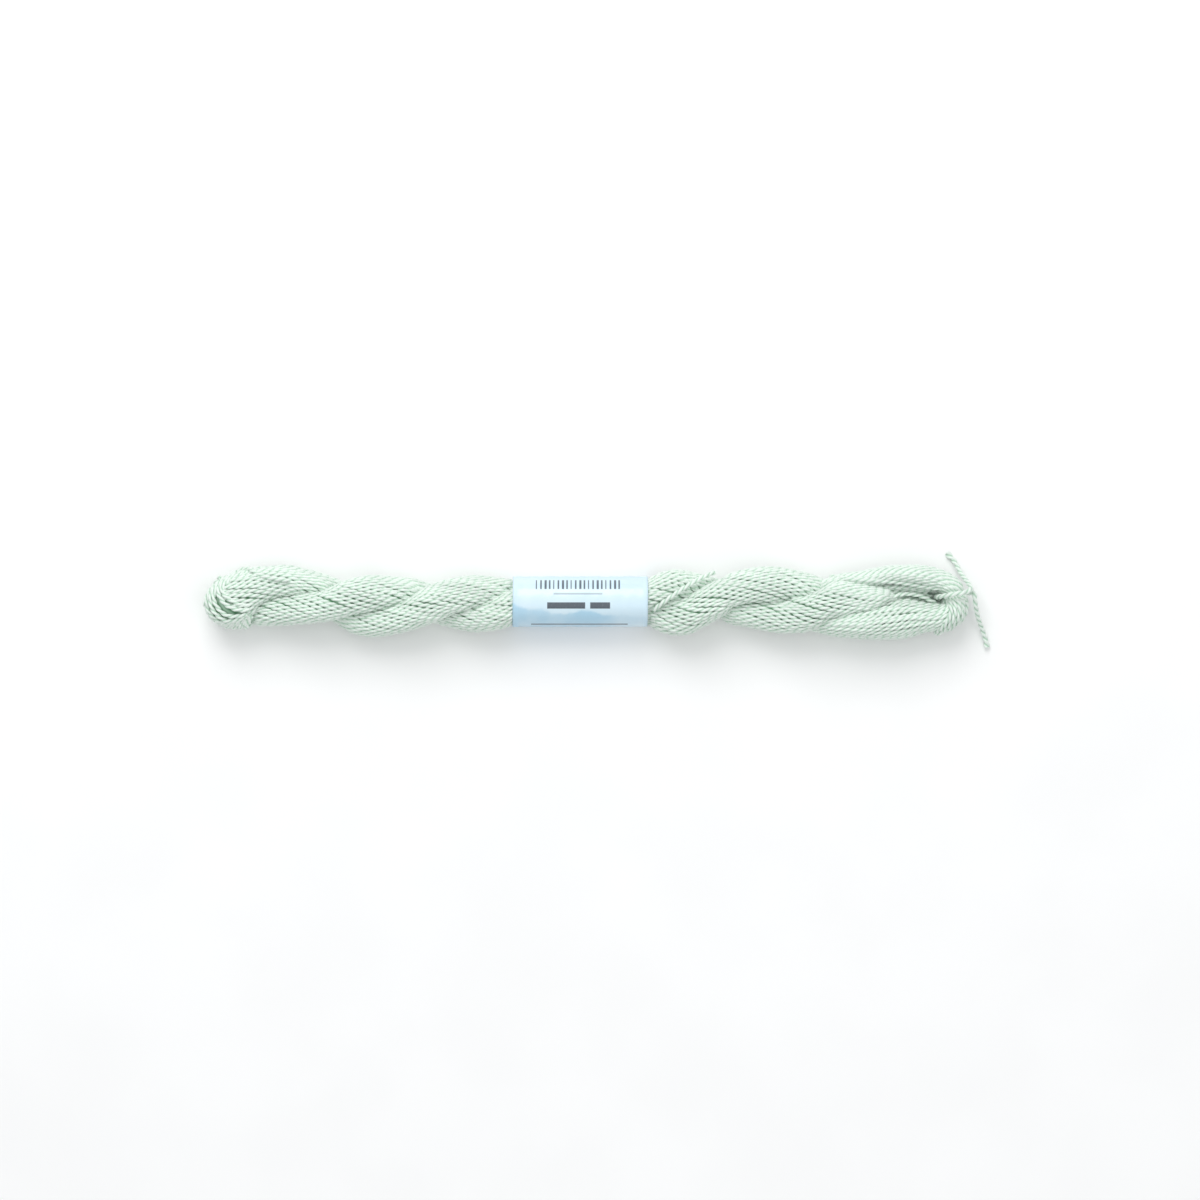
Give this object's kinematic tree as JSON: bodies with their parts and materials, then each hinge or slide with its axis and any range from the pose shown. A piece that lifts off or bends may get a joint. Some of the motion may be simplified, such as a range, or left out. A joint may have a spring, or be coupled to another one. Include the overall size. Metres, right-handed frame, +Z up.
{
  "type": "skein of embroidery floss",
  "caption": "Twisted skein of pale mint embroidery thread with a pale blue paper band and a thread tied through its end loop.",
  "frame": {"origin": "centre of the underside of the box round the hank and its band", "axes": "+X along the hank towards its tied end loop, +Y across it, +Z up from the surface it lies on"},
  "size_m": [0.1747, 0.0216, 0.0136],
  "materials": {
    "thread": "lustrous",
    "paper": "satin"
  },
  "bodies": {
    "root": {"skein": "thread", "paper_band": "paper", "tie": "thread"}
  },
  "joints": []
}
